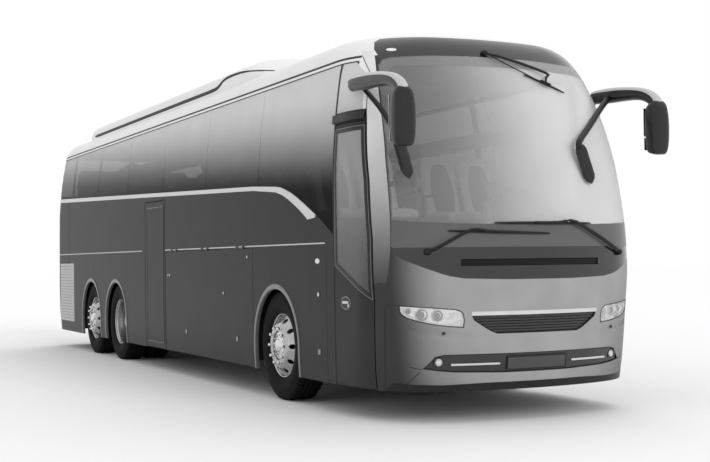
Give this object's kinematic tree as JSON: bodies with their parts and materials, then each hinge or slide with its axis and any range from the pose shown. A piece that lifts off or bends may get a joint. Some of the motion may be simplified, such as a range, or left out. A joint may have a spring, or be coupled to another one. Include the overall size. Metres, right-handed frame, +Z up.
{
  "type": "coach bus",
  "caption": "Three-axle touring coach with a curved windscreen, two swing doors, luggage flaps, roof unit, front steering and an interior of seat rows.",
  "frame": {"origin": "centre of the footprint on the ground under the tyres (middle of the bounding box, bottom)", "axes": "+X towards the front of the coach, +Y towards its left side, +Z up"},
  "size_m": [12.364, 2.646, 3.54],
  "materials": {
    "body_paint": "dark grey metallic coach paint with a clear coat",
    "clear_glass": "clear laminated glass",
    "tinted_glass": "dark tinted side glass",
    "black_plastic": "satin black plastic",
    "mirror_housing": "glossy grey mirror housings",
    "bright_trim": "light satin trim",
    "lamp_lens": "clear lamp lenses over bright reflectors",
    "red_lens": "red lamp lenses",
    "rubber": "matt black rubber",
    "chrome": "polished bright wheel discs",
    "dark_steel": "black-painted steel",
    "cast_iron": "grey cast iron",
    "floor_board": "dark vinyl floor covering on board",
    "dash_plastic": "light grey soft-touch plastic",
    "seat_fabric": "light grey seat shells with dark centre cloth"
  },
  "bodies": {
    "coach_body": {"side_wall_right": "body_paint", "side_wall_left": "body_paint", "nose_panel": "body_paint", "roof_panel": "body_paint", "rear_wall": "body_paint", "roof_unit": "body_paint", "windscreen": "clear_glass", "side_glass_right": "tinted_glass", "side_glass_left": "tinted_glass", "rear_glass": "tinted_glass", "cowl_panel": "black_plastic", "header_panel": "black_plastic", "lower_insert": "black_plastic", "front_grille": "black_plastic", "wipers": "black_plastic", "mirrors": "mirror_housing", "arch_rings": "bright_trim", "side_grilles": "bright_trim", "headlamps": "lamp_lens", "tail_lamps": "red_lens", "axles": "dark_steel", "air_springs": "rubber", "underframe": "dark_steel", "wheel_houses": "black_plastic", "floors": "floor_board", "engine_block": "cast_iron", "hinge_fixings": "dark_steel", "dashboard": "dash_plastic", "driver_seat": "seat_fabric", "passenger_seats_right": "seat_fabric", "passenger_seats_left": "seat_fabric", "parcel_racks": "dash_plastic"},
    "knuckle_left": {"knuckle_left": "dark_steel"},
    "knuckle_right": {"knuckle_right": "dark_steel"},
    "front_wheel_left": {"front_tyre_left": "rubber", "front_rim_left": "chrome"},
    "front_wheel_right": {"front_tyre_right": "rubber", "front_rim_right": "chrome"},
    "drive_wheels_left": {"drive_tyres_left": "rubber", "drive_rims_left": "chrome"},
    "drive_wheels_right": {"drive_tyres_right": "rubber", "drive_rims_right": "chrome"},
    "tag_wheel_left": {"tag_tyre_left": "rubber", "tag_rim_left": "chrome"},
    "tag_wheel_right": {"tag_tyre_right": "rubber", "tag_rim_right": "chrome"},
    "front_door_arm": {"front_door_arm": "dark_steel"},
    "front_door": {"front_door_leaf": "body_paint", "front_door_glass": "clear_glass"},
    "mid_door_arm": {"mid_door_arm": "dark_steel"},
    "mid_door": {"mid_door_leaf": "body_paint"},
    "luggage_flap_right": {"luggage_flap_right": "body_paint"},
    "luggage_flap_left_front": {"luggage_flap_left_front": "body_paint"},
    "luggage_flap_left_rear": {"luggage_flap_left_rear": "body_paint"},
    "engine_lid": {"engine_lid": "body_paint"},
    "steering_wheel": {"steering_wheel": "black_plastic"}
  },
  "joints": [
    {"name": "steer_left", "type": "hinge", "parent": "coach_body", "child": "knuckle_left", "pos_m": [3.542, 0.95, 0.515], "axis": [0, 0, 1], "range_deg": [-42, 42]},
    {"name": "front_wheel_left_spin", "type": "hinge", "parent": "knuckle_left", "child": "front_wheel_left", "pos_m": [3.542, 1.0875, 0.515], "axis": [0, 1, 0], "continuous": true},
    {"name": "drive_wheels_left_spin", "type": "hinge", "parent": "coach_body", "child": "drive_wheels_left", "pos_m": [-2.358, 1.0875, 0.515], "axis": [0, 1, 0], "continuous": true},
    {"name": "tag_wheel_left_spin", "type": "hinge", "parent": "coach_body", "child": "tag_wheel_left", "pos_m": [-3.758, 1.0875, 0.515], "axis": [0, 1, 0], "continuous": true},
    {"name": "steer_right", "type": "hinge", "parent": "coach_body", "child": "knuckle_right", "pos_m": [3.542, -0.95, 0.515], "axis": [0, 0, 1], "range_deg": [-42, 42]},
    {"name": "front_wheel_right_spin", "type": "hinge", "parent": "knuckle_right", "child": "front_wheel_right", "pos_m": [3.542, -1.0875, 0.515], "axis": [0, 1, 0], "continuous": true},
    {"name": "drive_wheels_right_spin", "type": "hinge", "parent": "coach_body", "child": "drive_wheels_right", "pos_m": [-2.358, -1.0875, 0.515], "axis": [0, 1, 0], "continuous": true},
    {"name": "tag_wheel_right_spin", "type": "hinge", "parent": "coach_body", "child": "tag_wheel_right", "pos_m": [-3.758, -1.0875, 0.515], "axis": [0, 1, 0], "continuous": true},
    {"name": "front_door_swing", "type": "hinge", "parent": "coach_body", "child": "front_door_arm", "pos_m": [5.412, -1.13, 1.15], "axis": [0, 0, 1], "range_deg": [0, 110]},
    {"name": "front_door_leaf_turn", "type": "hinge", "parent": "front_door_arm", "child": "front_door", "pos_m": [4.942, -1.13, 1.15], "axis": [0, 0, 1], "range_deg": [-110, 0]},
    {"name": "mid_door_swing", "type": "hinge", "parent": "coach_body", "child": "mid_door_arm", "pos_m": [-0.788, -1.13, 1.15], "axis": [0, 0, -1], "range_deg": [0, 110]},
    {"name": "mid_door_leaf_turn", "type": "hinge", "parent": "mid_door_arm", "child": "mid_door", "pos_m": [-0.148, -1.13, 1.15], "axis": [0, 0, -1], "range_deg": [-110, 0]},
    {"name": "luggage_flap_right_lift", "type": "hinge", "parent": "coach_body", "child": "luggage_flap_right", "pos_m": [1.468, -1.285, 1.449], "axis": [-1, 0, 0], "range_deg": [0, 88]},
    {"name": "luggage_flap_left_front_lift", "type": "hinge", "parent": "coach_body", "child": "luggage_flap_left_front", "pos_m": [1.468, 1.285, 1.449], "axis": [1, 0, 0], "range_deg": [0, 88]},
    {"name": "luggage_flap_left_rear_lift", "type": "hinge", "parent": "coach_body", "child": "luggage_flap_left_rear", "pos_m": [-0.864, 1.285, 1.449], "axis": [1, 0, 0], "range_deg": [0, 88]},
    {"name": "engine_lid_lift", "type": "hinge", "parent": "coach_body", "child": "engine_lid", "pos_m": [-6.173, 0, 1.42], "axis": [0, 1, 0], "range_deg": [0, 80]},
    {"name": "steering_wheel_turn", "type": "hinge", "parent": "coach_body", "child": "steering_wheel", "pos_m": [5.342, 0.6, 1.66], "axis": [-0.4695, 0, 0.8829], "range_deg": [-756, 756]}
  ],
  "couplings": [
    {"joint": "steer_right", "follows": "steer_left", "ratio": 1},
    {"joint": "steering_wheel_turn", "follows": "steer_left", "ratio": 18},
    {"joint": "front_door_leaf_turn", "follows": "front_door_swing", "ratio": -1},
    {"joint": "mid_door_leaf_turn", "follows": "mid_door_swing", "ratio": -1}
  ]
}
